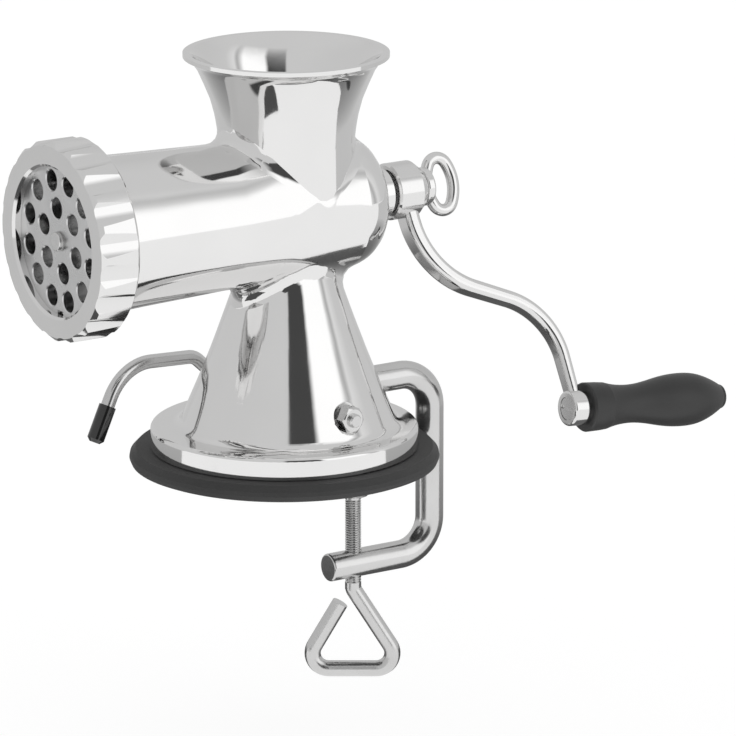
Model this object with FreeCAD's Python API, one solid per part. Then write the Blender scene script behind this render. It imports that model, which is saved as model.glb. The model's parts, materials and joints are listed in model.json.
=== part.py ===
import FreeCAD, Part
import math
import os

# Hand crank meat grinder, size 8, on a suction foot with a screw clamp.
# Millimetres. Origin: centre of the foot's underside, on the table top.
# +Z up, barrel along X with its outlet at -X and its crank at +X.

V = FreeCAD.Vector

# ---------------------------------------------------------------- driving dimensions
AXIS_Z = 104.3              # height of the barrel's axis
RUN = 0.05                  # radial clearance of a running fit
GAP = 0.3                   # gap between parts that move past each other

FOOT_H = 6.8                # rubber suction foot, and the radius and height of its rim's corners
FOOT_RIM = ((59.0, 0.0), (61.2, 0.9), (62.0, 2.8), (61.7, 4.4), (59.4, FOOT_H))
SEAL_GROOVE = (50.0, 53.0, 1.2)     # inner radius, outer radius, depth
PLATE_POCKET_R = 15.0       # pocket for the lifting plate in the foot's top
PLATE_POCKET_Z = 4.0

DISC_R = 53.5               # base disc of the casting
DISC_TOP = 16.0
DISC_EDGE_R = 1.6
PED_X = 1.9                 # pedestal's axis, a little behind the foot's
PED_BASE_R = 49.0           # disc the pedestal is turned with
PED_FOOT_R = 43.8           # pedestal flank extended down to the disc
PED_MID = (32.3, 43.0)      # radius and height where the flank's slope changes
PED_AXIS_R = 10.2           # flank extended up to the barrel's axis
PED_FLARE_R = 4.5
PED_FLANK_R = 400.0
PED_FILLET = 7.0
CAVITY_LOW_R = 37.5
CAVITY_HIGH_R = 17.0
CAVITY_TOP = 72.0

MOUTH_X = -101.7            # front face of the barrel's threaded mouth
THREAD_R = 35.0             # crest of the barrel's thread
THREAD_DEPTH = 1.1
THREAD_PITCH = 3.0
THREAD_END_X = -90.3        # back of the threaded collar
BARREL_FRONT_R = 31.0
BARREL_REAR_R = 26.8
BARREL_REAR_X = 39.0
BARREL_CORNER_R = 15.0
BORE_FRONT_R = 26.6
BORE_REAR_R = 22.4
BORE_REAR_X = 34.5
BORE_CORNER = 6.0           # slope at the bore's rear end
SEAT_R = 31.1               # counterbore that seats the grinding plate
SEAT_END_X = -91.7
KEY_X = MOUTH_X + 2.0       # pin that keeps the plate from turning
BOSS_R = 10.0               # rear shaft boss
BOSS_END_X = 47.6

HOPPER_X = 1.5
NECK_R = 27.0
NECK_TOP_Z = 132.0
THROAT_LOW_Z = 130.0        # straight throat inside the neck, lower and upper end
THROAT_TOP_Z = 138.0
THROAT_TAPER = 0.8          # narrowing from there down to the barrel's axis
HOPPER_WALL = 3.3
HOPPER_FLARE = ((27.0, 132.0), (28.4, 142.0), (30.4, 149.4), (33.3, 156.3), (37.2, 163.3))
RIM_R = 40.8
RIM_Z = 167.0
RIM_BAND = 1.6              # height of the rim's upright edge
RIM_LIP = 1.8
HOPPER_FILLET = 6.0

RING_FRONT_X = -106.3
RING_BACK_X = -89.2
RING_R = 39.4
RING_BORE_R = THREAD_R + GAP
RING_LIP = 3.6
RING_OPEN_R = 29.5
RING_BEVEL = 1.6
SCALLOPS = 20
SCALLOP_R = 8.0
SCALLOP_DEPTHS = (2.0, 0.6)     # at the ring's front and back

PLATE_T = 5.5
PLATE_R = 31.0
PLATE_HOLE_R = 4.1
PLATE_ROWS = ((6, 12.8, 10.0), (12, 23.8, 14.0))     # count, pitch radius, first angle
PIN_R = 4.0                 # auger's front pin, in the plate's middle hole
KEY_R = 2.0

KNIFE_T = 4.6
KNIFE_R = 28.5
KNIFE_HUB_R = 10.5
KNIFE_HUB_T = 8.0
KNIFE_ARM = 10.0
DRIVE_SQUARE = 10.0

AUGER_PITCH = 27.0
AUGER_CORE_R = 8.5
CORE_TAPER = 3.0            # growth of the core's radius from front to rear
FLIGHT_T = 4.0
FLIGHT_EDGE = 0.9           # slope of the flight's faces at its rim
FLIGHT_GAP = 0.7
SHAFT_R = 6.5
BUSH_R = 8.2
AUGER_WASHER_R = 15.0
WASHER_T = 2.0
TANG_FLAT = 10.0            # across the flats of the crank's drive tang

HUB_X = (48.4, 63.0)
HUB_R = 11.5
HUB_NOSE = (3.4, 9.2)       # length of the hub's tapered nose and its end radius
CRANK_ANGLE = 28.0          # from straight down towards -Y
CRANK_R = 99.2              # from the barrel's axis to the middle of the boss's outer face
ARM_X = (55.8, 109.4)       # arm centreline at the hub and at the grip boss
ARM_CORNER_R = (35.2, 58.95)    # distance from the axis of the arm's two corners
ARM_BEND_R = (34.0, 30.0)
ARM_SECTION = (9.6, 6.5)
ARM_END_SECTION = (7.1, 4.8)
END_BOSS_R = 7.15
END_BOSS_X = 105.0          # outer face of the grip boss
END_BOSS_LENGTH = 7.2
GRIP_TILT = 4.6             # grip's axis, turned outwards from the barrel's

THUMB_WASHER_T = 1.2
THUMB_WASHER_R = 7.2
COLLAR_R = 7.8
COLLAR_END_X = 68.0
EYE_WIRE_R = 2.5
EYE_HALF_Z = 10.6           # oval eye, centreline half sizes and centre
EYE_HALF_X = 6.3
EYE_CENTRE_X = 74.4
EYE_END_R = 4.8             # centreline radius of its top and bottom arcs
EYE_LEAN = 17.0
THUMB_SCREW_R = 3.9
THUMB_SCREW_LENGTH = 15.0

GRIP_START = 8.0            # places along the grip's axis, from the boss's outer face
GRIP_LENGTH = 65.2
GRIP_CAP = 2.0
GRIP_CAP_R = 5.0
GRIP_PLUG = (3.9, 3.0)      # cap's plug in the grip, radius and length
GRIP_WASHER_R = 6.0
GRIP_COLLAR = ((0.0, 9.6), (0.6, 10.0), (6.0, 9.8))     # distance and radius
GRIP_SHAPE = ((9.5, 9.5), (12.5, 8.7), (16.5, 8.05), (22.5, 7.8), (30.0, 8.65), (37.3, 10.05),
              (46.5, 10.85), (53.8, 10.2), (59.3, 8.4), (65.2, 5.4))
AXLE_R = 3.0
AXLE_HEAD_R = 4.6
AXLE_HEAD_T = 1.6

CAM_ANGLE = 6.5             # cam shaft, turned from -Y towards +X
CAM_Z = 26.0
CAM_R = 6.5
CAM_OFFSET = 1.5
CAM_T = 7.0
CAM_PIN_R = 1.0
CAM_PIN = (-7.4, 1.8)       # pin's ends under and over the shaft's axis
CAM_BOSS_R = 9.0
CAM_BOSS_IN = 22.0
CAM_BOSS_OUT = 38.0
CAM_FACE = 36.9             # spot face under the nut, distance from the pedestal's axis
CAM_FACE_R = 6.2
CAM_WASHER_T = 0.8
CAM_WASHER_R = 5.9
CAM_NUT_FLATS = 9.5
CAM_NUT_END = 43.5
CAM_SHAFT_END = 45.2
LEVER_PLANE = 43.0          # lever's plane, distance behind the pedestal's axis
LEVER_MOUTH = (38.0, 3.3)   # wider end of the shaft's hole, distance and radius
LEVER_R = 2.8
LEVER_CORNERS = ((0.0, 26.0), (12.0, 36.7), (48.0, 39.4), (61.0, 13.0))     # side and height
LEVER_BENDS = (4.5, 8.0, 21.0)
CAP_LENGTH = 15.5
CAP_R = 3.5
CAP_SEAT = 3.6              # closed end of the cap

STEM_R = 4.5
STEM_PLATE_R = 14.0
STEM_PLATE_T = 2.2
EYE_BLOCK = (22.6, 6.4)
EYE_WINDOW_W = 16.9
EYE_ROOM = (0.6, 0.4)       # room under and over the eccentric at rest
EYE_WALL = 4.0

CLAMP_R = 5.7
CLAMP_TOP_Z = 27.6
CLAMP_BACK_X = 69.85
CLAMP_LOW_Z = -47.9
CLAMP_LOW_END_X = 20.6
CLAMP_BEND_R = 14.5
SOCKET_IN_X = 18.0
SOCKET_OUT_X = 37.0
SOCKET_R = 9.0
CLAMP_SCREW_X = 32.75
SCREW_R = 3.3
SCREW_PITCH = 1.0
SCREW_DEPTH = 0.45
PAD_TOP_Z = -13.0
PAD_R = 9.0
PAD_H = 6.0
HANDLE_TOP_Z = -58.7
HANDLE_LOW_Z = -92.6
HANDLE_HALF = 21.3          # half distance between the handle's two lower corners
HANDLE_FREE = (-5.2, -64.6)     # free end, side and height
HANDLE_BENDS = (4.0, 6.6, 6.6)
HANDLE_TURN = -33.3         # handle's plane, turned about Z from the X axis


# ---------------------------------------------------------------- helpers
def along_x(x0, x1, r, y=0.0, z=AXIS_Z):
    return Part.makeCylinder(r, x1 - x0, V(x0, y, z), V(1, 0, 0))


def along_z(z0, z1, r, x=0.0, y=0.0):
    return Part.makeCylinder(r, z1 - z0, V(x, y, z0), V(0, 0, 1))


def spin_z(edges, x=0.0):
    """Solid of revolution about the vertical axis at x, from edges in the XZ plane."""
    return Part.Face(Part.Wire(edges)).revolve(V(x, 0, 0), V(0, 0, 1), 360)


def spin_x(edges, z=AXIS_Z):
    """Solid of revolution about the X direction at height z."""
    return Part.Face(Part.Wire(edges)).revolve(V(0, 0, z), V(1, 0, 0), 360)


def line(a, b):
    return Part.LineSegment(a, b).toShape()


def polyline(points):
    return [line(a, b) for a, b in zip(points, points[1:])]


def spline(points):
    curve = Part.BSplineCurve()
    curve.interpolate(points)
    return curve.toShape()


def closed(points):
    return polyline(points + [points[0]])


def hexagon(flats, length, centre, axis):
    """Hexagonal prism with rounded corners at both ends."""
    corner = flats / math.sqrt(3)
    pts = [V(corner * math.cos(a), corner * math.sin(a), 0) for a in
           (math.radians(60 * k) for k in range(7))]
    prism = Part.Face(Part.Wire(polyline(pts))).extrude(V(0, 0, length))
    chamfer = flats * 0.09
    round_r = corner - chamfer * 0.2
    cone = Part.Face(Part.Wire(closed([
        V(0, 0, 0), V(round_r - chamfer, 0, 0), V(round_r + 0.6, 0, chamfer),
        V(round_r + 0.6, 0, length - chamfer), V(round_r - chamfer, 0, length), V(0, 0, length),
    ]))).revolve(V(0, 0, 0), V(0, 0, 1), 360)
    nut = prism.common(cone)
    nut.Placement = FreeCAD.Placement(centre, FreeCAD.Rotation(V(0, 0, 1), axis))
    return nut


def rounded_path(points, radii):
    """Straight runs through points, joined by tangent arcs of the given radii."""
    edges = []
    start = points[0]
    for corner, after, radius in zip(points[1:], points[2:], radii):
        back = (start - corner).normalize() if start != corner else V(0, 0, 0)
        ahead = (after - corner).normalize()
        half = (math.pi - back.getAngle(ahead)) / 2
        reach = radius * math.tan(half)
        a = corner + back * reach
        b = corner + ahead * reach
        middle = (back + ahead).normalize()
        mid = corner + middle * (radius / math.cos(half) - radius)
        if (a - start).Length > 1e-6:
            edges.append(line(start, a))
        edges.append(Part.Arc(a, mid, b).toShape())
        start = b
    edges.append(line(start, points[-1]))
    return Part.Wire(edges)


def rod(points, radii, r):
    """Round bar of radius r bent along a rounded path."""
    path = rounded_path(points, radii)
    first = path.Edges[0]
    tangent = first.tangentAt(first.FirstParameter)
    section = Part.Wire(Part.Circle(points[0], tangent, r).toShape())
    return path.makePipeShell([section], True, False)


def fused(shapes):
    solid = shapes[0].fuse(shapes[1:]) if len(shapes) > 1 else shapes[0]
    return solid.removeSplitter()


def ring_grooves(first, count, pitch, crest, depth):
    """Thread drawn as grooves, one per pitch, along X about the barrel's axis."""
    cuts = []
    for k in range(count):
        x = first + k * pitch
        cuts.append(spin_x(closed([
            V(x - depth * 0.8, 0, AXIS_Z + crest + 0.01), V(x, 0, AXIS_Z + crest - depth),
            V(x + depth * 0.8, 0, AXIS_Z + crest + 0.01),
        ])))
    return cuts


def threaded_z(low, high, thread_low, thread_high, pitch, crest, depth, x):
    """Upright screw at x with its thread drawn as one V ring per pitch."""
    profile = [V(x, 0, low), V(x + crest, 0, low)]
    for k in range(int((thread_high - thread_low) / pitch)):
        z = thread_low + k * pitch
        profile += [V(x + crest, 0, z), V(x + crest - depth, 0, z + pitch * 0.45),
                    V(x + crest, 0, z + pitch * 0.9)]
    profile += [V(x + crest, 0, high - depth), V(x + crest - depth, 0, high), V(x, 0, high)]
    return spin_z(closed(profile), x)


# ---------------------------------------------------------------- places on the cam shaft
CAM_DIR = V(math.sin(math.radians(CAM_ANGLE)), -math.cos(math.radians(CAM_ANGLE)), 0)
CAM_SIDE = V(-math.cos(math.radians(CAM_ANGLE)), -math.sin(math.radians(CAM_ANGLE)), 0)


def on_cam(reach, side=0.0, z=CAM_Z):
    """A point at a distance along the cam shaft, to its side and at a height."""
    return CAM_DIR * reach + CAM_SIDE * side + V(0, 0, z)


def cam_rod(start, end, r, side=0.0, z=CAM_Z):
    return Part.makeCylinder(r, end - start, on_cam(start, side, z), CAM_DIR)


# ---------------------------------------------------------------- casting
def barrel_radius(x):
    slope = (BARREL_REAR_R - BARREL_FRONT_R) / (BARREL_REAR_X - THREAD_END_X)
    return BARREL_FRONT_R + slope * (x - THREAD_END_X)


def barrel_outside():
    corner_x = BARREL_REAR_X - BARREL_CORNER_R
    top = barrel_radius(corner_x)
    arc_end = V(BARREL_REAR_X, 0, AXIS_Z + top - BARREL_CORNER_R)
    arc_mid = V(corner_x + BARREL_CORNER_R * math.sqrt(0.5), 0,
                AXIS_Z + top - BARREL_CORNER_R * (1 - math.sqrt(0.5)))
    arc_start = V(corner_x, 0, AXIS_Z + top)
    profile = polyline([
        V(MOUTH_X, 0, AXIS_Z), V(MOUTH_X, 0, AXIS_Z + THREAD_R - 1), V(MOUTH_X + 1, 0, AXIS_Z + THREAD_R),
        V(THREAD_END_X, 0, AXIS_Z + THREAD_R), V(THREAD_END_X, 0, AXIS_Z + BARREL_FRONT_R), arc_start,
    ])
    profile.append(Part.Arc(arc_start, arc_mid, arc_end).toShape())
    boss_r = AXIS_Z + BOSS_R
    profile += polyline([
        arc_end, V(BARREL_REAR_X, 0, boss_r + 2), V(BARREL_REAR_X + 2, 0, boss_r),
        V(BOSS_END_X - 1, 0, boss_r), V(BOSS_END_X, 0, boss_r - 1), V(BOSS_END_X, 0, AXIS_Z),
        V(MOUTH_X, 0, AXIS_Z),
    ])
    return spin_x(profile)


def stand_outside():
    """Base disc, and the pedestal turned on its own axis with the flare at its foot."""
    disc = rounded_path([V(0, 0, FOOT_H), V(DISC_R, 0, FOOT_H), V(DISC_R, 0, DISC_TOP), V(0, 0, DISC_TOP)],
                        (0.6, DISC_EDGE_R))
    path = rounded_path([
        V(PED_X + PED_BASE_R, 0, DISC_TOP), V(PED_X + PED_FOOT_R, 0, DISC_TOP),
        V(PED_X + PED_MID[0], 0, PED_MID[1]), V(PED_X + PED_AXIS_R, 0, AXIS_Z),
    ], (PED_FLARE_R, PED_FLANK_R))
    close = polyline([
        V(PED_X + PED_AXIS_R, 0, AXIS_Z), V(PED_X, 0, AXIS_Z), V(PED_X, 0, FOOT_H),
        V(PED_X + PED_BASE_R, 0, FOOT_H), V(PED_X + PED_BASE_R, 0, DISC_TOP),
    ])
    disc = spin_z(disc.Edges + [line(V(0, 0, DISC_TOP), V(0, 0, FOOT_H))])
    return fused([disc, spin_z(path.Edges + close, PED_X)])


def hopper_outside():
    flare = [V(HOPPER_X + r, 0, z) for r, z in HOPPER_FLARE]
    rim_low = V(HOPPER_X + RIM_R, 0, RIM_Z - RIM_BAND)
    edges = polyline([V(HOPPER_X, 0, AXIS_Z), V(HOPPER_X + NECK_R, 0, AXIS_Z), flare[0]])
    edges.append(spline(flare + [rim_low]))
    rim_top = V(HOPPER_X + RIM_R, 0, RIM_Z)
    edges += polyline([rim_low, rim_top, V(HOPPER_X, 0, RIM_Z), V(HOPPER_X, 0, AXIS_Z)])
    return spin_z(edges, HOPPER_X)


def hopper_inside():
    throat = V(HOPPER_X + NECK_R - HOPPER_WALL, 0, THROAT_TOP_Z)
    flare = [V(HOPPER_X + r - HOPPER_WALL, 0, z) for r, z in HOPPER_FLARE[2:]]
    mouth = V(HOPPER_X + RIM_R - RIM_LIP, 0, RIM_Z + 0.6)
    edges = polyline([V(HOPPER_X, 0, AXIS_Z), V(throat.x - THROAT_TAPER, 0, AXIS_Z),
                      V(throat.x, 0, THROAT_LOW_Z), throat])
    edges.append(spline([throat] + flare + [mouth]))
    edges += polyline([mouth, V(HOPPER_X, 0, RIM_Z + 0.6), V(HOPPER_X, 0, AXIS_Z)])
    return spin_z(edges, HOPPER_X)


def barrel_inside():
    return spin_x(closed([
        V(MOUTH_X - 1, 0, AXIS_Z), V(MOUTH_X - 1, 0, AXIS_Z + SEAT_R), V(SEAT_END_X, 0, AXIS_Z + SEAT_R),
        V(SEAT_END_X, 0, AXIS_Z + BORE_FRONT_R), V(BORE_REAR_X - BORE_CORNER, 0, AXIS_Z + BORE_REAR_R),
        V(BORE_REAR_X, 0, AXIS_Z + BORE_REAR_R - BORE_CORNER), V(BORE_REAR_X, 0, AXIS_Z + BUSH_R),
        V(BOSS_END_X + 1, 0, AXIS_Z + BUSH_R), V(BOSS_END_X + 1, 0, AXIS_Z),
    ]))


def joint_curves(shape, low, high):
    """Edges where two turned bodies of the casting cross, between two heights."""
    return [e for e in shape.Edges if isinstance(e.Curve, Part.BSplineCurve)
            and e.BoundBox.ZMin > low and e.BoundBox.ZMax < high]


def casting_outside():
    solid = barrel_outside().fuse(stand_outside()).removeSplitter()
    solid = solid.makeFillet(PED_FILLET, joint_curves(solid, DISC_TOP, AXIS_Z))
    solid = solid.fuse(hopper_outside()).removeSplitter()
    return solid.makeFillet(HOPPER_FILLET, joint_curves(solid, AXIS_Z, NECK_TOP_Z + 3))


def cavity():
    return spin_z(closed([
        V(PED_X, 0, FOOT_H - 1), V(PED_X + CAVITY_LOW_R, 0, FOOT_H - 1),
        V(PED_X + CAVITY_LOW_R, 0, DISC_TOP + 3), V(PED_X + CAVITY_HIGH_R, 0, CAVITY_TOP - 6),
        V(PED_X + CAVITY_HIGH_R - 6, 0, CAVITY_TOP), V(PED_X, 0, CAVITY_TOP),
    ]), PED_X)


def body_casting():
    solid = casting_outside()
    posts = fused([
        cam_rod(CAM_BOSS_IN, CAM_BOSS_OUT, CAM_BOSS_R), cam_rod(-CAM_BOSS_OUT, -CAM_BOSS_IN, CAM_BOSS_R),
        along_x(SOCKET_IN_X, SOCKET_OUT_X, SOCKET_R, z=CLAMP_TOP_Z),
    ])
    hollow = cavity().cut(posts)
    solid = solid.cut(hollow)
    solid = solid.cut(fused([barrel_inside(), hopper_inside()]))
    solid = solid.cut([
        cam_rod(-60, 60, LEVER_R + RUN), cam_rod(-60, -LEVER_MOUTH[0], LEVER_MOUTH[1]),
        cam_rod(CAM_FACE, 60, CAM_FACE_R),
        along_x(0, 60, CLAMP_R + RUN, z=CLAMP_TOP_Z),
        key_pin_hole(),
    ])
    solid = solid.cut(ring_grooves(MOUTH_X + 2.6, 3, THREAD_PITCH, THREAD_R, THREAD_DEPTH))
    return solid


def key_pin_hole():
    return along_z(AXIS_Z - SEAT_R - 2.4, AXIS_Z - SEAT_R + 6, KEY_R, x=KEY_X)


# ---------------------------------------------------------------- barrel parts
def plate_key_pin():
    return along_z(AXIS_Z - SEAT_R - 2.4, AXIS_Z - SEAT_R + 2.6, KEY_R, x=KEY_X)


def grinding_plate():
    front = RING_FRONT_X + RING_LIP + RUN
    plate = along_x(front, front + PLATE_T, PLATE_R)
    plate = plate.makeChamfer(0.5, [e for e in plate.Edges if e.BoundBox.XLength < 0.01])
    holes = [along_x(front - 1, front + PLATE_T + 1, PIN_R + RUN)]
    for count, radius, first in PLATE_ROWS:
        for k in range(count):
            a = math.radians(first + 360 * k / count)
            holes.append(along_x(front - 1, front + PLATE_T + 1, PLATE_HOLE_R,
                                 radius * math.sin(a), AXIS_Z + radius * math.cos(a)))
    notch = Part.makeBox(PLATE_T + 2, 2 * KEY_R + 0.4, 4.2, V(front - 1, -KEY_R - 0.2, AXIS_Z - PLATE_R - 1))
    plate = plate.cut(holes + [notch])
    rims = [e for e in plate.Edges if abs(e.BoundBox.XMin - front) < 0.01 and e.BoundBox.XLength < 0.01
            and abs(e.BoundBox.YLength - 2 * PLATE_HOLE_R) < 0.05]
    return plate.makeChamfer(0.45, rims)


def ring_nut():
    back = RING_BACK_X
    front = RING_FRONT_X
    lip = front + RING_LIP
    body = spin_x(closed([
        V(front, 0, AXIS_Z + RING_OPEN_R + 1.0), V(front, 0, AXIS_Z + RING_R - RING_BEVEL),
        V(front + RING_BEVEL, 0, AXIS_Z + RING_R), V(back - RING_BEVEL, 0, AXIS_Z + RING_R),
        V(back, 0, AXIS_Z + RING_R - RING_BEVEL), V(back, 0, AXIS_Z + RING_BORE_R + 0.8),
        V(back - 0.8, 0, AXIS_Z + RING_BORE_R), V(lip, 0, AXIS_Z + RING_BORE_R),
        V(lip, 0, AXIS_Z + RING_OPEN_R), V(front + 1.0, 0, AXIS_Z + RING_OPEN_R),
    ]))
    cuts = []
    for k in range(SCALLOPS):
        a = math.radians(360 * (k + 0.5) / SCALLOPS)
        ends = [V(x, reach * math.sin(a), AXIS_Z + reach * math.cos(a)) for x, reach in
                zip((front, back), (RING_R + SCALLOP_R - depth for depth in SCALLOP_DEPTHS))]
        run = (ends[1] - ends[0]).normalize()
        cuts.append(Part.makeCylinder(SCALLOP_R, back - front + 4, ends[0] - run * 2, run))
    return body.cut(cuts)


def knife():
    back = RING_FRONT_X + RING_LIP + RUN + PLATE_T + 0.1
    hub = along_x(back, back + KNIFE_HUB_T, KNIFE_HUB_R)
    arms = []
    for k in range(4):
        half = KNIFE_ARM / 2
        arm = Part.Face(Part.Wire(closed([
            V(back, -half, 0), V(back, half, 0), V(back + KNIFE_T, half - 3.5, 0),
            V(back + KNIFE_T, -half + 1.0, 0),
        ]))).extrude(V(0, 0, KNIFE_R))
        arm.rotate(V(0, 0, 0), V(1, 0, 0), 45 + 90 * k)
        arm.translate(V(0, 0, AXIS_Z))
        arms.append(arm)
    body = fused([hub] + arms).common(along_x(back - 1, back + 20, KNIFE_R))
    side = DRIVE_SQUARE + 0.2
    square = Part.makeBox(KNIFE_HUB_T + 2, side, side, V(back - 1, -side / 2, AXIS_Z - side / 2))
    return body.cut(square)


def auger():
    plate_back = RING_FRONT_X + RING_LIP + RUN + PLATE_T
    screw_start = plate_back + 0.1 + KNIFE_HUB_T
    screw_end = BORE_REAR_X - WASHER_T - 0.1
    half = DRIVE_SQUARE / 2
    pin = along_x(RING_FRONT_X + RING_LIP, screw_start, PIN_R)
    square = Part.makeBox(KNIFE_HUB_T, DRIVE_SQUARE, DRIVE_SQUARE, V(plate_back + 0.1, -half, AXIS_Z - half))
    core = Part.makeCone(AUGER_CORE_R, AUGER_CORE_R + CORE_TAPER, screw_end - screw_start,
                         V(screw_start, 0, AXIS_Z), V(1, 0, 0))
    length = screw_end - screw_start
    helix = Part.makeHelix(AUGER_PITCH, length - FLIGHT_T, AUGER_CORE_R)
    inner = AUGER_CORE_R - 3
    section = Part.Wire(closed([
        V(inner, 0, 0), V(BORE_FRONT_R + 2, 0, FLIGHT_EDGE),
        V(BORE_FRONT_R + 2, 0, FLIGHT_T - FLIGHT_EDGE), V(inner, 0, FLIGHT_T),
    ]))
    flight = Part.Wire(helix).makePipeShell([section], True, True)
    flight.Placement = FreeCAD.Placement(V(screw_start, 0, AXIS_Z), FreeCAD.Rotation(V(0, 0, 1), V(1, 0, 0)))
    slope = (BORE_REAR_R - BORE_FRONT_R) / (BORE_REAR_X - BORE_CORNER - SEAT_END_X)
    trim_rear = BORE_FRONT_R + slope * (screw_end - SEAT_END_X) - FLIGHT_GAP
    trim_front = BORE_FRONT_R + slope * (screw_start - SEAT_END_X) - FLIGHT_GAP
    envelope = Part.makeCone(trim_front, trim_rear, length, V(screw_start, 0, AXIS_Z), V(1, 0, 0))
    corner = spin_x(closed([
        V(screw_end - 7, 0, AXIS_Z + trim_rear + 4), V(screw_end + 1, 0, AXIS_Z + trim_rear + 4),
        V(screw_end + 1, 0, AXIS_Z + trim_rear - 8),
    ]))
    flight = flight.common(envelope).cut(corner)
    shaft = along_x(screw_end, BOSS_END_X + 0.6, SHAFT_R)
    tang = along_x(BOSS_END_X + 0.6, HUB_X[1] - 0.6, SHAFT_R)
    for side in (-1, 1):
        flat_z = AXIS_Z + side * (TANG_FLAT / 2 + 5) - 5
        tang = tang.cut(Part.makeBox(30, 30, 10, V(BOSS_END_X + 0.6, -15, flat_z)))
    body = fused([pin, square, core, flight, shaft, tang])
    hole = along_x(HUB_X[1] - 18, HUB_X[1] + 1, THUMB_SCREW_R + RUN)
    return body.cut(hole)


def auger_washer():
    washer = along_x(BORE_REAR_X - WASHER_T, BORE_REAR_X, AUGER_WASHER_R)
    return washer.cut(along_x(BORE_REAR_X - 5, BORE_REAR_X + 5, SHAFT_R + GAP))


def rear_bushing():
    bush = along_x(BORE_REAR_X + 0.2, BOSS_END_X, BUSH_R)
    return bush.cut(along_x(BORE_REAR_X - 1, BOSS_END_X + 1, SHAFT_R + RUN))


# ---------------------------------------------------------------- crank
OUT = V(0, -math.sin(math.radians(CRANK_ANGLE)), -math.cos(math.radians(CRANK_ANGLE)))
ACROSS = V(0, math.cos(math.radians(CRANK_ANGLE)), -math.sin(math.radians(CRANK_ANGLE)))


def on_crank(reach, x):
    return V(x, 0, AXIS_Z) + OUT * reach


def arm_section(centre, along, width, depth, corner):
    """Rounded rectangle, width across the crank's plane and depth in it."""
    flat = ACROSS
    thick = flat.cross(along).normalize()
    w = width / 2
    d = depth / 2
    k = corner * (1 - math.sqrt(0.5))
    edges = []
    previous = None
    first = None
    for su, sv in ((1, 1), (-1, 1), (-1, -1), (1, -1)):
        a = centre + flat * (su * (w if su * sv > 0 else w - corner)) \
            + thick * (sv * (d - corner if su * sv > 0 else d))
        b = centre + flat * (su * (w - corner if su * sv > 0 else w)) \
            + thick * (sv * (d if su * sv > 0 else d - corner))
        m = centre + flat * (su * (w - k)) + thick * (sv * (d - k))
        if previous is not None:
            edges.append(line(previous, a))
        else:
            first = a
        edges.append(Part.Arc(a, m, b).toShape())
        previous = b
    edges.append(line(previous, first))
    return Part.Wire(edges)


def crank_arm():
    path = rounded_path([
        on_crank(4, ARM_X[0]), on_crank(ARM_CORNER_R[0], ARM_X[0]),
        on_crank(ARM_CORNER_R[1], ARM_X[1]), on_crank(CRANK_R - 2, ARM_X[1]),
    ], ARM_BEND_R)
    start = arm_section(on_crank(4, ARM_X[0]), OUT, ARM_SECTION[0], ARM_SECTION[1], 2.2)
    end = arm_section(on_crank(CRANK_R - 2, ARM_X[1]), OUT, ARM_END_SECTION[0], ARM_END_SECTION[1], 2.2)
    bar = path.makePipeShell([start, end], True, False)
    back, front = HUB_X
    hub = spin_x(closed([
        V(back, 0, AXIS_Z), V(back, 0, AXIS_Z + HUB_R - 0.8), V(back + 0.8, 0, AXIS_Z + HUB_R),
        V(front - HUB_NOSE[0], 0, AXIS_Z + HUB_R), V(front - 0.4, 0, AXIS_Z + HUB_NOSE[1]),
        V(front, 0, AXIS_Z + HUB_NOSE[1] - 0.4), V(front, 0, AXIS_Z),
    ]))
    boss = local_x(0, END_BOSS_LENGTH, END_BOSS_R)
    boss = boss.makeFillet(1.0, [e for e in boss.Edges if e.BoundBox.XLength < 0.01])
    body = fused([hub, bar, on_grip(boss)])
    flats = along_x(HUB_X[0] - 1, HUB_X[1] + 1, SHAFT_R + 0.1)
    for side in (-1, 1):
        flats = flats.cut(Part.makeBox(30, 30, 10, V(HUB_X[0] - 2, -15,
                                                    AXIS_Z + side * (TANG_FLAT / 2 + 5.1) - 5)))
    axle_hole = on_grip(local_x(-1, END_BOSS_LENGTH + 1, AXLE_R))
    head_hole = on_grip(local_x(-1, AXLE_HEAD_T, AXLE_HEAD_R + 0.2))
    return body.cut([flats, axle_hole, head_hole])


def local_x(x0, x1, r):
    """Round bar along X through the origin."""
    return Part.makeCylinder(r, x1 - x0, V(x0, 0, 0), V(1, 0, 0))


def on_grip(shape):
    """Moves a shape made along X from the origin onto the grip's axis."""
    tilt = math.radians(GRIP_TILT)
    axis = V(math.cos(tilt), 0, 0) + OUT * math.sin(tilt)
    shape = shape.copy()
    shape.Placement = FreeCAD.Placement(on_crank(CRANK_R, END_BOSS_X), FreeCAD.Rotation(V(1, 0, 0), axis))
    return shape


def grip_axle():
    head = local_x(0.2, AXLE_HEAD_T, AXLE_HEAD_R)
    shank = local_x(AXLE_HEAD_T, GRIP_START + GRIP_LENGTH - GRIP_PLUG[1] - 1, AXLE_R)
    slot = Part.makeBox(1.2, 12, 1.2, V(-0.2, -6, -0.6))
    return on_grip(fused([head, shank]).cut(slot))


def grip_washer():
    washer = local_x(END_BOSS_LENGTH, GRIP_START - 0.1, GRIP_WASHER_R)
    return on_grip(washer.cut(local_x(0, GRIP_START + 1, AXLE_R)))


def grip():
    start = GRIP_START
    end = start + GRIP_LENGTH
    shape = [V(start + x, 0, r) for x, r in GRIP_SHAPE]
    collar = [V(start, 0, 0)] + [V(start + x, 0, r) for x, r in GRIP_COLLAR] + [shape[0]]
    edges = polyline(collar) + [spline(shape)] + polyline([shape[-1], V(end, 0, 0), collar[0]])
    solid = Part.Face(Part.Wire(edges)).revolve(V(0, 0, 0), V(1, 0, 0), 360)
    hole = local_x(start - 1, end - GRIP_PLUG[1] - 0.4, AXLE_R + RUN)
    seat = local_x(end - GRIP_PLUG[1] - 0.5, end + 1, GRIP_PLUG[0] + 0.1)
    return on_grip(solid.cut([hole, seat]))


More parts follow.
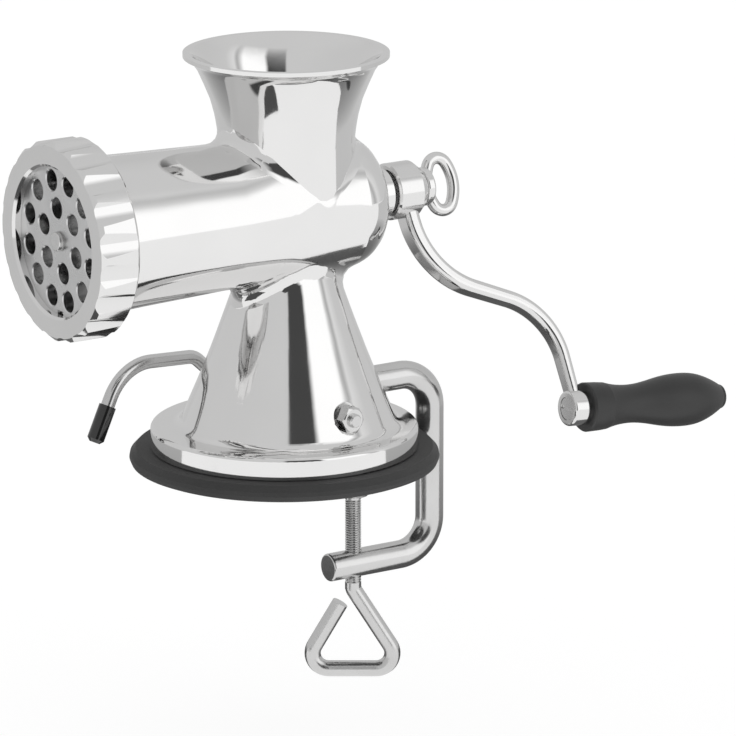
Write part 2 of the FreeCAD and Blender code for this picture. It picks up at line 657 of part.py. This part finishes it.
def grip_end_cap():
    start = GRIP_START + GRIP_LENGTH
    cap = local_x(start, start + GRIP_CAP, GRIP_CAP_R)
    cap = cap.makeFillet(1.2, [e for e in cap.Edges if e.BoundBox.XMin > start + GRIP_CAP - 0.01])
    return on_grip(fused([cap, local_x(start - GRIP_PLUG[1], start, GRIP_PLUG[0])]))


def lock_washer():
    x = HUB_X[1]
    washer = along_x(x, x + THUMB_WASHER_T, THUMB_WASHER_R)
    return washer.cut(along_x(x - 1, x + 3, THUMB_SCREW_R + RUN))


def bent_wire(radius, start, end):
    """Piece of a ring of the eye's wire in the XY plane, between two angles."""
    piece = Part.makeTorus(radius, EYE_WIRE_R, V(0, 0, 0), V(0, 0, 1), 0, 360, math.degrees(end - start))
    piece.rotate(V(0, 0, 0), V(0, 0, 1), math.degrees(start))
    return piece


def eye_loop():
    """Oval ring of round wire, its centreline made of four tangent arcs."""
    end_z = EYE_HALF_Z - EYE_END_R
    side_r = (EYE_HALF_X ** 2 + end_z ** 2 - EYE_END_R ** 2) / (2 * (EYE_HALF_X - EYE_END_R))
    centre_x = side_r - EYE_HALF_X
    turn = math.atan2(end_z, centre_x)
    pieces = []
    for side in (0, 180):
        arc = bent_wire(side_r, -turn, turn)
        arc.translate(V(-centre_x, 0, 0))
        end = bent_wire(EYE_END_R, turn, math.pi - turn)
        end.translate(V(0, end_z, 0))
        for piece in (arc, end):
            piece.rotate(V(0, 0, 0), V(0, 0, 1), side)
            pieces.append(piece)
    loop = fused(pieces)
    loop.rotate(V(0, 0, 0), V(1, 0, 0), 90 - EYE_LEAN)
    loop.translate(V(EYE_CENTRE_X, 0, AXIS_Z))
    return loop


def thumb_screw():
    start = HUB_X[1] + THUMB_WASHER_T + 0.05
    collar = along_x(start, COLLAR_END_X, COLLAR_R)
    collar = collar.makeFillet(1.0, [e for e in collar.Edges if e.BoundBox.XLength < 0.01])
    shank = along_x(HUB_X[1] - THUMB_SCREW_LENGTH, start, THUMB_SCREW_R)
    return fused([collar, shank, eye_loop()])


# ---------------------------------------------------------------- suction foot
def suction_cup():
    rim = [V(r, 0, z) for r, z in FOOT_RIM]
    body = spin_z(closed([V(0, 0, 0)] + rim + [
        V(PLATE_POCKET_R, 0, FOOT_H), V(PLATE_POCKET_R, 0, PLATE_POCKET_Z), V(0, 0, PLATE_POCKET_Z),
    ]))
    inner, outer, depth = SEAL_GROOVE
    groove = along_z(-1, depth, outer).cut(along_z(-1, depth, inner))
    return body.cut(groove)


def suction_stem():
    low = PLATE_POCKET_Z
    plate = along_z(low, low + STEM_PLATE_T, STEM_PLATE_R)
    bottom = CAM_Z - CAM_OFFSET - CAM_R - EYE_ROOM[0]
    top = CAM_Z - CAM_OFFSET + CAM_R + EYE_ROOM[1]
    block_z0 = bottom - EYE_WALL
    column = along_z(low, block_z0 + 1, STEM_R)
    block = Part.makeBox(EYE_BLOCK[0], EYE_BLOCK[1], top + EYE_WALL - block_z0,
                         V(-EYE_BLOCK[0] / 2, -EYE_BLOCK[1] / 2, block_z0))
    block = block.makeFillet(2.0, [e for e in block.Edges if e.BoundBox.YLength > 1
                                   and e.BoundBox.XLength < 0.01 and e.BoundBox.ZLength < 0.01])
    window = Part.makeBox(EYE_WINDOW_W, 20, top - bottom, V(-EYE_WINDOW_W / 2, -10, bottom))
    body = fused([plate, column, block]).cut(window)
    body.rotate(V(0, 0, 0), V(0, 0, 1), CAM_ANGLE)
    return body


def cam_pin():
    return along_z(CAM_Z + CAM_PIN[0], CAM_Z + CAM_PIN[1], CAM_PIN_R)


def eccentric_cam():
    disc = cam_rod(-CAM_T / 2, CAM_T / 2, CAM_R, z=CAM_Z - CAM_OFFSET)
    return disc.cut([cam_rod(-10, 10, LEVER_R), along_z(CAM_Z - 2 * CAM_R, CAM_Z, CAM_PIN_R)])


def cam_washer():
    ring = cam_rod(CAM_FACE, CAM_FACE + CAM_WASHER_T, CAM_WASHER_R)
    return ring.cut(cam_rod(CAM_FACE - 1, CAM_FACE + 3, LEVER_R))


def cam_nut():
    start = CAM_FACE + CAM_WASHER_T
    nut = hexagon(CAM_NUT_FLATS, CAM_NUT_END - start, on_cam(start), CAM_DIR)
    return nut.cut(cam_rod(start - 1, CAM_NUT_END + 2, LEVER_R))


def lever_rod():
    """One bent bar: cam shaft, elbow behind the pedestal and hand lever."""
    pts = [on_cam(CAM_SHAFT_END)] + [on_cam(-LEVER_PLANE, side, z) for side, z in LEVER_CORNERS]
    body = rod(pts, LEVER_BENDS, LEVER_R)
    end = min(body.Edges, key=lambda e: (e.CenterOfMass - pts[0]).Length)
    return body.makeChamfer(0.6, [end]).cut(cam_pin())


def lever_cap():
    tip = on_cam(-LEVER_PLANE, *LEVER_CORNERS[-1])
    before = on_cam(-LEVER_PLANE, *LEVER_CORNERS[-2])
    ahead = (tip - before).normalize()
    start = tip - ahead * (CAP_LENGTH - CAP_SEAT)
    body = Part.makeCylinder(CAP_R, CAP_LENGTH, start, ahead)
    body = body.makeChamfer(1.4, [max(body.Edges, key=lambda e: (e.CenterOfMass - start).dot(ahead))])
    return body.cut(Part.makeCylinder(LEVER_R, CAP_LENGTH - CAP_SEAT, start, ahead))


# ---------------------------------------------------------------- table clamp
def clamp_frame():
    body = rod([
        V(SOCKET_IN_X + 0.6, 0, CLAMP_TOP_Z), V(CLAMP_BACK_X, 0, CLAMP_TOP_Z),
        V(CLAMP_BACK_X, 0, CLAMP_LOW_Z), V(CLAMP_LOW_END_X, 0, CLAMP_LOW_Z),
    ], (CLAMP_BEND_R, CLAMP_BEND_R), CLAMP_R)
    end = [e for e in body.Edges if e.BoundBox.XMax < CLAMP_LOW_END_X + 0.01]
    body = body.makeFillet(0.8, end)
    return body.cut(along_z(CLAMP_LOW_Z - 10, CLAMP_LOW_Z + 10, SCREW_R + RUN, x=CLAMP_SCREW_X))


def clamp_pad():
    x = CLAMP_SCREW_X
    low = PAD_TOP_Z - PAD_H
    body = spin_z(closed([
        V(x, 0, low), V(x + 6.0, 0, low), V(x + PAD_R, 0, PAD_TOP_Z - 2.4), V(x + PAD_R, 0, PAD_TOP_Z - 0.5),
        V(x + PAD_R - 0.5, 0, PAD_TOP_Z), V(x, 0, PAD_TOP_Z),
    ]), x)
    return body.cut(along_z(low - 1, low + 3.6, SCREW_R + RUN, x=x))


def clamp_screw():
    x = CLAMP_SCREW_X
    top = PAD_TOP_Z - PAD_H + 3.5
    shank = threaded_z(HANDLE_TOP_Z, top, CLAMP_LOW_Z - CLAMP_R - 2, top - 4.5, SCREW_PITCH, SCREW_R,
                       SCREW_DEPTH, x)
    turn = math.radians(HANDLE_TURN)
    side = V(math.cos(turn), math.sin(turn), 0)

    def at(across, z):
        return V(x, 0, 0) + side * across + V(0, 0, z)

    wire = rod([
        at(0, HANDLE_TOP_Z + 2), at(0, HANDLE_TOP_Z), at(HANDLE_HALF, HANDLE_LOW_Z),
        at(-HANDLE_HALF, HANDLE_LOW_Z), at(*HANDLE_FREE),
    ], HANDLE_BENDS, SCREW_R)
    return fused([shank, wire])


PARTS = {
    "body_casting": body_casting,
    "plate_key_pin": plate_key_pin,
    "grinding_plate": grinding_plate,
    "ring_nut": ring_nut,
    "knife": knife,
    "auger": auger,
    "auger_washer": auger_washer,
    "rear_bushing": rear_bushing,
    "crank_arm": crank_arm,
    "grip_axle": grip_axle,
    "grip_washer": grip_washer,
    "grip": grip,
    "grip_end_cap": grip_end_cap,
    "lock_washer": lock_washer,
    "thumb_screw": thumb_screw,
    "suction_cup": suction_cup,
    "suction_stem": suction_stem,
    "cam_pin": cam_pin,
    "eccentric_cam": eccentric_cam,
    "cam_washer": cam_washer,
    "cam_nut": cam_nut,
    "lever_rod": lever_rod,
    "lever_cap": lever_cap,
    "clamp_frame": clamp_frame,
    "clamp_pad": clamp_pad,
    "clamp_screw": clamp_screw,
}

os.makedirs("parts", exist_ok=True)
for node, make in PARTS.items():
    shape = make()
    print(node, "solids", len(shape.Solids), "valid", shape.isValid(), "cm3", round(shape.Volume / 1000, 2))
    shape.exportStep("parts/" + node + ".step")
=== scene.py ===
import json
import math

import bmesh
import bpy
from mathutils import Matrix, Vector


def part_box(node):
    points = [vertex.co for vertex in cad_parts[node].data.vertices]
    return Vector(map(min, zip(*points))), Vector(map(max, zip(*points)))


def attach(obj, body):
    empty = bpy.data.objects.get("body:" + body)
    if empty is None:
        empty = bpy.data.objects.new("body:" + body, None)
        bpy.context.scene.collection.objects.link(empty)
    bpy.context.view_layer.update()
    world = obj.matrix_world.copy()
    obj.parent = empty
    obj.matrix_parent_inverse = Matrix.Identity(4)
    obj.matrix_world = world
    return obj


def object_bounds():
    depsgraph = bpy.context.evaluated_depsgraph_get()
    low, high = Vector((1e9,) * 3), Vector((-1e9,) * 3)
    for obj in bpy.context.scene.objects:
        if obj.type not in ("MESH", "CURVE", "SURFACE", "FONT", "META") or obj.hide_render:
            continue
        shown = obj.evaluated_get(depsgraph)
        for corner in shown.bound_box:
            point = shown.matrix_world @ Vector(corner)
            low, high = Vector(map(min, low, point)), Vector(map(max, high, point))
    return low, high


# Looks for the hand crank meat grinder. Metres, in the CAD frame: origin at the centre of the
# suction foot's underside, +Z up, barrel along X with the outlet at -X and the crank at +X.

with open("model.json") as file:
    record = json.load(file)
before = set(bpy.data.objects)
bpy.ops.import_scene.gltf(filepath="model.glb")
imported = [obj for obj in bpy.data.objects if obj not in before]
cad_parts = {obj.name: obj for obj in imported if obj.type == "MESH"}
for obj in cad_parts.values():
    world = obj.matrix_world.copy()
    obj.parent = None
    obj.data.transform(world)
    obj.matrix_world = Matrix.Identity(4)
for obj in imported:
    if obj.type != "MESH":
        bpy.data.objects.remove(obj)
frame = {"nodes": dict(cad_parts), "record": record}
cad_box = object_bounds()
nodes = frame["nodes"]
record = frame["record"]

# ---------------------------------------------------------------- camera
AZIMUTH = -33.3
ELEVATION = 14.9
DISTANCE = 2.40
LENS = 293.5
SIDE_SHIFT = 0.0334
UP_SHIFT = 0.0373

FRONT = Vector((math.sin(math.radians(AZIMUTH)), -math.cos(math.radians(AZIMUTH)), 0.0))
RIGHT = Vector((-FRONT.y, FRONT.x, 0.0))


def make_camera():
    e = math.radians(ELEVATION)
    back = FRONT * math.cos(e) + Vector((0, 0, math.sin(e)))
    up = back.cross(RIGHT)
    target = RIGHT * SIDE_SHIFT + up * UP_SHIFT
    data = bpy.data.cameras.new("camera")
    data.lens = LENS
    data.sensor_width = 36.0
    data.clip_end = 20.0
    cam = bpy.data.objects.new("camera", data)
    bpy.context.scene.collection.objects.link(cam)
    turn = Matrix((RIGHT, up, back)).transposed()
    cam.matrix_world = Matrix.Translation(target + back * DISTANCE) @ turn.to_4x4()
    bpy.context.scene.camera = cam


# ---------------------------------------------------------------- node helpers
class Graph:
    """Short ways to add and join shader nodes."""

    def __init__(self, tree):
        self.tree = tree

    def add(self, kind, **settings):
        node = self.tree.nodes.new(kind)
        for key, value in settings.items():
            setattr(node, key, value)
        return node

    def join(self, source, target):
        self.tree.links.new(source, target)

    def feed(self, value, socket):
        if isinstance(value, bpy.types.NodeSocket):
            self.join(value, socket)
        else:
            socket.default_value = value

    def math(self, operation, a, b=0.0):
        node = self.add("ShaderNodeMath", operation=operation)
        self.feed(a, node.inputs[0])
        self.feed(b, node.inputs[1])
        return node.outputs[0]

    def dot(self, vector, direction):
        node = self.add("ShaderNodeVectorMath", operation="DOT_PRODUCT")
        self.feed(vector, node.inputs[0])
        node.inputs[1].default_value = direction
        return node.outputs["Value"]

    def noise(self, coords, scale, detail=2.0):
        node = self.add("ShaderNodeTexNoise")
        node.inputs["Scale"].default_value = scale
        node.inputs["Detail"].default_value = detail
        self.join(coords, node.inputs["Vector"])
        return node.outputs["Fac"]

    def span(self, value, low, high, to_low=0.0, to_high=1.0):
        node = self.add("ShaderNodeMapRange")
        self.join(value, node.inputs["Value"])
        limits = {"From Min": low, "From Max": high, "To Min": to_low, "To Max": to_high}
        for name, number in limits.items():
            node.inputs[name].default_value = number
        return node.outputs["Result"]

    def mix(self, factor, a, b):
        node = self.add("ShaderNodeMix", data_type="RGBA")
        self.feed(factor, node.inputs["Factor"])
        self.feed(a, node.inputs[6])
        self.feed(b, node.inputs[7])
        return node.outputs[2]

    def ramp(self, value, stops):
        node = self.add("ShaderNodeValToRGB")
        self.join(value, node.inputs[0])
        line = node.color_ramp
        while len(line.elements) < len(stops):
            line.elements.new(0.5)
        for element, (place, level) in zip(line.elements, stops):
            element.position = place
            element.color = grey(level)
        return node.outputs["Color"]

    def bump(self, height, distance, strength=1.0, under=None):
        node = self.add("ShaderNodeBump")
        node.inputs["Strength"].default_value = strength
        node.inputs["Distance"].default_value = distance
        self.join(height, node.inputs["Height"])
        if under is not None:
            self.join(under, node.inputs["Normal"])
        return node.outputs["Normal"]


def grey(level, warmth=0.0):
    return (level * (1 + warmth), level, level * (1 - warmth), 1)


def new_material(name):
    material = bpy.data.materials.new(name)
    material.use_nodes = True
    graph = Graph(material.node_tree)
    shader = material.node_tree.nodes["Principled BSDF"]
    coords = graph.add("ShaderNodeTexCoord").outputs["Object"]
    return material, graph, shader, coords


# ---------------------------------------------------------------- materials
def polished_steel(name, level=0.80, gloss=(0.045, 0.085)):
    """Mirror-polished casting: faint waviness, haze in patches and fine buffing marks."""
    material, g, shader, coords = new_material(name)
    shader.inputs["Metallic"].default_value = 1.0
    haze = g.noise(coords, 38.0, 3.0)
    g.join(g.mix(haze, grey(level - 0.03, 0.004), grey(level + 0.02, 0.004)),
           shader.inputs["Base Color"])
    g.join(g.span(haze, 0.3, 0.7, *gloss), shader.inputs["Roughness"])
    waves = g.bump(g.noise(coords, 55.0, 1.0), 0.00006, 0.35)
    g.join(g.bump(g.noise(coords, 1400.0, 2.0), 0.000004, 0.25, waves), shader.inputs["Normal"])
    return material


def satin_steel(name, level=0.62, gloss=(0.20, 0.32), grain=900.0):
    """Plated or turned steel with a fine grain and slightly uneven colour."""
    material, g, shader, coords = new_material(name)
    shader.inputs["Metallic"].default_value = 1.0
    patches = g.noise(coords, 60.0, 4.0)
    fine = g.noise(coords, grain, 3.0)
    g.join(g.mix(patches, grey(level - 0.06, 0.006), grey(level + 0.05, 0.002)),
           shader.inputs["Base Color"])
    g.join(g.span(fine, 0.25, 0.75, *gloss), shader.inputs["Roughness"])
    g.join(g.bump(fine, 0.00002, 0.35), shader.inputs["Normal"])
    return material


FACING_PITCH = 0.0005        # distance between the rings of the lathe's tool


def faced_steel(name, level=0.66):
    """Plate ground flat on a lathe: rings about the barrel's axis."""
    material, g, shader, coords = new_material(name)
    shader.inputs["Metallic"].default_value = 1.0
    split = g.add("ShaderNodeSeparateXYZ")
    g.join(coords, split.inputs[0])
    height = g.math("SUBTRACT", split.outputs["Z"], barrel_height())
    reach = g.math("SQRT", g.math("ADD", g.math("POWER", split.outputs["Y"], 2.0),
                                  g.math("POWER", height, 2.0)))
    rings = g.math("SINE", g.math("MULTIPLY", reach, 2 * math.pi / FACING_PITCH))
    patches = g.noise(coords, 90.0, 3.0)
    g.join(g.mix(patches, grey(level - 0.08), grey(level + 0.05)), shader.inputs["Base Color"])
    g.join(g.span(patches, 0.3, 0.7, 0.22, 0.34), shader.inputs["Roughness"])
    g.join(g.bump(rings, 0.000006, 0.4), shader.inputs["Normal"])
    return material


def moulded(name, colour_low, colour_high, gloss, grain, depth, coat=0.0):
    """Plastic or rubber from a mould, with a fine grain and faint flow patches."""
    material, g, shader, coords = new_material(name)
    patches = g.noise(coords, 45.0, 4.0)
    fine = g.noise(coords, grain, 3.0)
    g.join(g.mix(patches, grey(colour_low), grey(colour_high)), shader.inputs["Base Color"])
    g.join(g.span(fine, 0.25, 0.75, *gloss), shader.inputs["Roughness"])
    g.join(g.bump(fine, depth, 0.4), shader.inputs["Normal"])
    shader.inputs["Coat Weight"].default_value = coat
    return material


def barrel_height():
    low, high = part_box("grinding_plate")
    return (low[2] + high[2]) / 2


MATERIALS = {
    "casting_steel": lambda name: polished_steel(name),
    "ring_steel": lambda name: polished_steel(name, 0.78, (0.06, 0.12)),
    "crank_steel": lambda name: polished_steel(name, 0.76, (0.07, 0.13)),
    "plate_steel": lambda name: faced_steel(name),
    "knife_steel": lambda name: satin_steel(name, 0.60),
    "auger_steel": lambda name: satin_steel(name, 0.68, (0.16, 0.26)),
    "bolt_steel": lambda name: satin_steel(name, 0.68, (0.14, 0.22)),
    "clamp_steel": lambda name: satin_steel(name, 0.64, (0.14, 0.22)),
    "screw_steel": lambda name: satin_steel(name, 0.64, (0.18, 0.28)),
    "foot_rubber": lambda name: moulded(name, 0.030, 0.045, (0.55, 0.72), 1600.0, 0.00004),
    "grip_plastic": lambda name: moulded(name, 0.022, 0.034, (0.36, 0.46), 1200.0, 0.00002),
    "cap_plastic": lambda name: moulded(name, 0.008, 0.014, (0.10, 0.16), 500.0, 0.00001, 0.5),
    "bush_nylon": lambda name: moulded(name, 0.72, 0.80, (0.40, 0.50), 700.0, 0.00002),
}


def paint_nodes():
    finishes = {slot: make(slot) for slot, make in MATERIALS.items()}
    for part in record["subparts"]:
        piece = nodes[part["node"]]
        if not piece.material_slots:
            piece.data.materials.append(None)
        for place in piece.material_slots:
            place.material = finishes[part["material_slot"]]
    return finishes


# ---------------------------------------------------------------- small pieces
PIN_STUB = 0.0022            # length of the auger's pin that stands out of the plate
STUB_R = 0.0038
STUB_ROUND = 0.28            # share of its length that is rounded
STUB_DIMPLE = (0.80, 0.0012)     # centre dimple's depth as a share of the length, radius
STUB_SIDES = 48
STUB_STEPS = 4               # steps of the rounding


def make_pin_stub(finish):
    """Rounded end of the auger's pin in front of the plate."""
    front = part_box("grinding_plate")[0][0]
    straight, rounding = PIN_STUB * (1 - STUB_ROUND), PIN_STUB * STUB_ROUND
    profile = [(0.0, STUB_R), (straight, STUB_R)]
    for k in range(1, STUB_STEPS + 1):
        a = math.radians(90 * k / STUB_STEPS)
        profile.append((straight + rounding * math.sin(a), STUB_R - rounding * (1 - math.cos(a))))
    profile.append((PIN_STUB * STUB_DIMPLE[0], STUB_DIMPLE[1]))
    mesh = bmesh.new()
    rows = []
    for along, r in profile:
        rows.append([mesh.verts.new((front - along, r * math.sin(2 * math.pi * k / STUB_SIDES),
                                     barrel_height() + r * math.cos(2 * math.pi * k / STUB_SIDES)))
                     for k in range(STUB_SIDES)])
    for near, far in zip(rows, rows[1:]):
        for k in range(STUB_SIDES):
            n = (k + 1) % STUB_SIDES
            mesh.faces.new((near[k], near[n], far[n], far[k])).smooth = True
    mesh.faces.new(rows[0])
    mesh.faces.new(rows[-1][::-1])
    bmesh.ops.recalc_face_normals(mesh, faces=mesh.faces)
    data = bpy.data.meshes.new("auger_pin_end")
    mesh.to_mesh(data)
    mesh.free()
    piece = bpy.data.objects.new("auger_pin_end", data)
    data.materials.append(finish)
    bpy.context.scene.collection.objects.link(piece)
    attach(piece, "drive")


# ---------------------------------------------------------------- studio
FLOOR_DROP = 0.026           # under the part at rest; the clamp screw comes down 21 mm
FLOOR_HALF = 4.0
SKY_STRENGTH = 1.25
# Brightness of the studio's walls by the angle round from the camera, to its right.
WALLS = ((-180, 0.50), (-140, 0.53), (-6, 0.56), (0, 0.55), (3, 0.055), (31, 0.055),
         (37, 1.0), (74, 1.0), (79, 0.62), (84, 0.38), (90, 0.68), (104, 0.55), (180, 0.50))
CEILING = (0.55, 0.80, 0.56)     # sine of the height where it starts and is full, brightness
FLOOR_COLOUR = 0.3
FLOOR_GLOW = 0.80
# Cards that only reflections see: side and distance behind the middle of the foot.
TABLE_BEHIND = ((-3.0, 0.02), (3.0, 0.02), (3.0, 3.5), (-3.0, 3.5))
CARD_IN_FRONT = ((-0.33, -0.22), (-0.05, -0.22), (-0.05, -0.05), (-0.33, -0.05))


def make_sky():
    world = bpy.data.worlds.new("studio")
    bpy.context.scene.world = world
    world.use_nodes = True
    g = Graph(world.node_tree)
    shader = world.node_tree.nodes["Background"]
    direction = g.add("ShaderNodeTexCoord").outputs["Generated"]
    turn = g.math("ARCTAN2", g.dot(direction, RIGHT), g.dot(direction, FRONT))
    walls = g.ramp(g.span(turn, -math.pi, math.pi),
                   [((a + 180) / 360, level) for a, level in WALLS])
    up = g.dot(direction, (0, 0, 1))
    start, full, brightness = CEILING
    g.join(g.mix(g.span(up, start, full), walls, grey(brightness)), shader.inputs["Color"])
    shader.inputs["Strength"].default_value = SKY_STRENGTH


def make_floor():
    z = cad_box[0][2] - FLOOR_DROP
    data = bpy.data.meshes.new("floor")
    corners = [(x * FLOOR_HALF, y * FLOOR_HALF, z)
               for x, y in ((-1, -1), (1, -1), (1, 1), (-1, 1))]
    data.from_pydata(corners, [], [(0, 1, 2, 3)])
    floor = bpy.data.objects.new("floor", data)
    bpy.context.scene.collection.objects.link(floor)
    material, _, shader, _ = new_material("floor")
    shader.inputs["Base Color"].default_value = grey(FLOOR_COLOUR)
    shader.inputs["Roughness"].default_value = 0.9
    shader.inputs["Specular IOR Level"].default_value = 0.0
    shader.inputs["Emission Color"].default_value = grey(1.0)
    shader.inputs["Emission Strength"].default_value = FLOOR_GLOW
    data.materials.append(material)


def make_flag(name, corners, height, near, far, fade=(0.0, 1.0)):
    """Level card, its grey going from near to far with the distance from the foot."""
    data = bpy.data.meshes.new(name)
    z = cad_box[0][2] + height
    data.from_pydata([tuple(RIGHT * side - FRONT * behind + Vector((0, 0, z)))
                      for side, behind in corners], [], [(0, 1, 2, 3)])
    flag = bpy.data.objects.new(name, data)
    bpy.context.scene.collection.objects.link(flag)
    material, g, shader, coords = new_material(name)
    shader.inputs["Base Color"].default_value = grey(0.0)
    shader.inputs["Specular IOR Level"].default_value = 0.0
    away = g.add("ShaderNodeVectorMath", operation="DISTANCE")
    g.join(coords, away.inputs[0])
    away.inputs[1].default_value = (0, 0, z)
    g.join(g.mix(g.span(away.outputs["Value"], *fade), grey(near), grey(far)),
           shader.inputs["Emission Color"])
    shader.inputs["Emission Strength"].default_value = 1.0
    data.materials.append(material)
    flag.visible_camera = False
    flag.visible_diffuse = False
    flag.visible_shadow = False


make_camera()
make_sky()
make_floor()
make_flag("table_behind", TABLE_BEHIND, 0.0, 0.10, 0.62, (0.14, 0.55))
make_flag("card_in_front", CARD_IN_FRONT, 0.001, 0.08, 0.08)
finishes = paint_nodes()
make_pin_stub(finishes["auger_steel"])
bpy.context.scene.view_settings.view_transform = "Standard"
